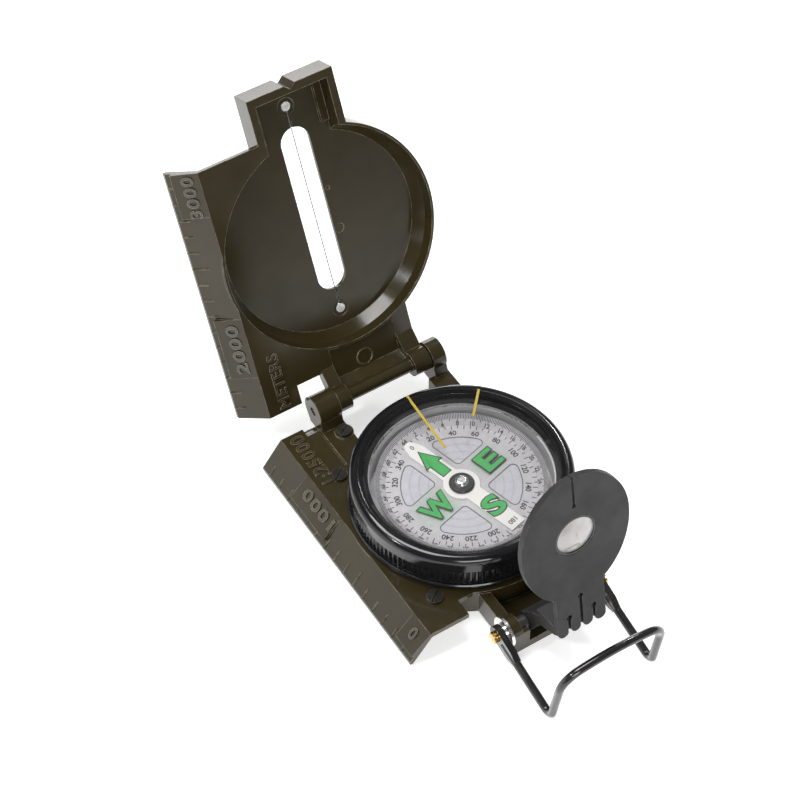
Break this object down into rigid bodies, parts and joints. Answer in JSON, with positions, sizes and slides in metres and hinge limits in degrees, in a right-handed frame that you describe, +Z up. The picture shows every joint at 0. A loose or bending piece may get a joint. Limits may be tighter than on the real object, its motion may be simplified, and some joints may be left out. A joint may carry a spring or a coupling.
{
  "type": "sighting compass",
  "caption": "Folding lensatic sighting compass with a hinged slotted cover and sighting wire, map ruler, rotating bezel, sealed dial, fold-down lens and wire thumb loop.",
  "frame": {"origin": "on the dial's axis, in the flat bottom face of the base", "axes": "+Z up along the dial's axis, +Y towards the cover hinge, +X to the right of the user, with the map ruler along the -X side"},
  "size_m": [0.0576, 0.1331, 0.0774],
  "materials": {
    "olive_paint": "gloss",
    "black_screw": "satin",
    "pin_steel": "satin",
    "bezel_black": "gloss",
    "crystal_clear": "polished",
    "gasket_black": "matte",
    "lume_yellow": "satin",
    "spring_steel": "satin",
    "capsule_grey": "satin",
    "dial_grey": "satin",
    "dial_white": "satin",
    "magnet_dark": "satin",
    "hub_black": "gloss",
    "bright_chrome": "polished",
    "jewel_red": "polished",
    "bright_brass": "polished",
    "eyepiece_grey": "matte",
    "lens_clear": "polished",
    "wire_black": "gloss",
    "wire_steel": "satin"
  },
  "bodies": {
    "base": {"base_casting": "olive_paint", "casing_screws": "black_screw", "hinge_pin": "pin_steel", "bezel_snap_ring": "spring_steel", "bezel_washer": "spring_steel", "capsule_cup": "capsule_grey", "capsule_window": "crystal_clear", "pivot_post": "bright_brass", "pivot_needle": "pin_steel", "eyepiece_hinge_pin": "pin_steel", "eyepiece_spacers": "hub_black", "thumb_loop_washers": "bright_chrome", "thumb_loop_screws": "bright_brass"},
    "cover": {"cover_casting": "olive_paint", "sighting_wire": "wire_steel", "wire_pins": "bright_chrome"},
    "bezel": {"bezel_ring": "bezel_black", "bezel_crystal": "crystal_clear", "crystal_gasket": "gasket_black", "course_lines": "lume_yellow"},
    "dial": {"dial_card": "dial_grey", "north_south_bar": "dial_white", "dial_magnet": "magnet_dark", "hub_collar": "hub_black", "hub_cap": "bright_chrome", "pivot_jewel": "jewel_red"},
    "eyepiece": {"eyepiece_bracket": "eyepiece_grey", "eyepiece_lens_ring": "hub_black", "eyepiece_lens": "lens_clear"},
    "thumb_loop": {"thumb_loop": "wire_black"}
  },
  "joints": [
    {"name": "cover_hinge", "type": "hinge", "parent": "base", "child": "cover", "pos_m": [0, 0.03627, 0.01105], "axis": [1, 0, 0], "range_deg": [-66, 113.5]},
    {"name": "bezel_spin", "type": "hinge", "parent": "base", "child": "bezel", "pos_m": [0, 0, 0.012], "axis": [0, 0, 1], "continuous": true},
    {"name": "dial_spin", "type": "hinge", "parent": "base", "child": "dial", "pos_m": [0, 0, 0.012], "axis": [0, 0, 1], "continuous": true},
    {"name": "eyepiece_fold", "type": "hinge", "parent": "base", "child": "eyepiece", "pos_m": [0, -0.0343, 0.0063], "axis": [-1, 0, 0], "range_deg": [-15, 80]},
    {"name": "thumb_loop_swing", "type": "hinge", "parent": "base", "child": "thumb_loop", "pos_m": [0, -0.0343, 0.0063], "axis": [-1, 0, 0], "range_deg": [-70, 32]}
  ]
}
